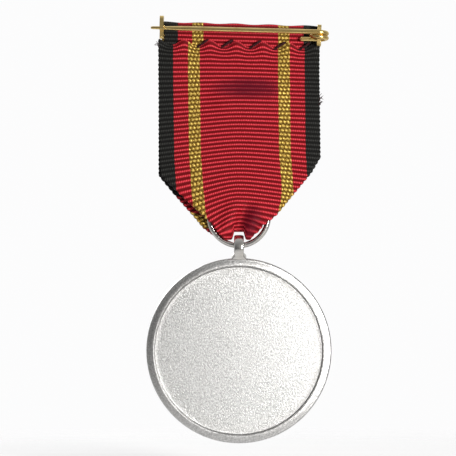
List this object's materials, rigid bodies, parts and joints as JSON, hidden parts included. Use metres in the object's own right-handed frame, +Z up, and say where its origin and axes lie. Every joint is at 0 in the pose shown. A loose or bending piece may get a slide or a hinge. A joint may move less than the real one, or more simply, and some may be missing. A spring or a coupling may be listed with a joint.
{
  "type": "military service medal",
  "caption": "Round struck service medal hung by an eyelet and wire ring from a striped grosgrain ribbon sewn over a brass brooch bar with a coiled needle.",
  "frame": {"origin": "the middle of the brooch bar, where the needle pins the medal to cloth", "axes": "+Z up towards the brooch with the medal hanging along -Z, -Y towards the front of the medal, +Y towards its back and the needle, +X towards the catch"},
  "size_m": [0.035, 0.008, 0.0806],
  "materials": {
    "brass": "polished yellow brass, lightly tarnished",
    "polished_silver": "polished silver plate",
    "blasted_silver": "sand-blasted silver plate over a struck metal core",
    "ribbon": "ribbed grosgrain, red with gold and black edge stripes",
    "thread": "dark red sewing thread"
  },
  "bodies": {
    "brooch": {"brooch_bar": "brass", "ribbon_top_fold": "ribbon", "ribbon_hem": "ribbon", "hem_thread": "thread"},
    "needle": {"pin_needle": "brass"},
    "ribbon": {"ribbon_front_layer": "ribbon", "ribbon_back_layer": "ribbon"},
    "ring": {"suspension_ring": "polished_silver", "ribbon_ring_loop": "ribbon"},
    "medal": {"suspension_eyelet": "polished_silver", "medal_disc": "blasted_silver"}
  },
  "joints": [
    {"name": "needle_open", "type": "hinge", "parent": "brooch", "child": "needle", "pos_m": [-0.01512, 0.0031, -0.00125], "axis": [-0.0242, 0.5, 0.8657], "range_deg": [0, 50]},
    {"name": "ribbon_swing", "type": "hinge", "parent": "brooch", "child": "ribbon", "pos_m": [0, 0, -0.0059], "axis": [1, 0, 0], "range_deg": [-45, 45]},
    {"name": "ring_turn", "type": "hinge", "parent": "ribbon", "child": "ring", "pos_m": [0, 0, -0.0352], "axis": [0, 1, 0], "range_deg": [-10, 10]},
    {"name": "medal_swing", "type": "hinge", "parent": "ring", "child": "medal", "pos_m": [0, 0, -0.04077], "axis": [1, 0, 0], "range_deg": [-80, 80]}
  ]
}
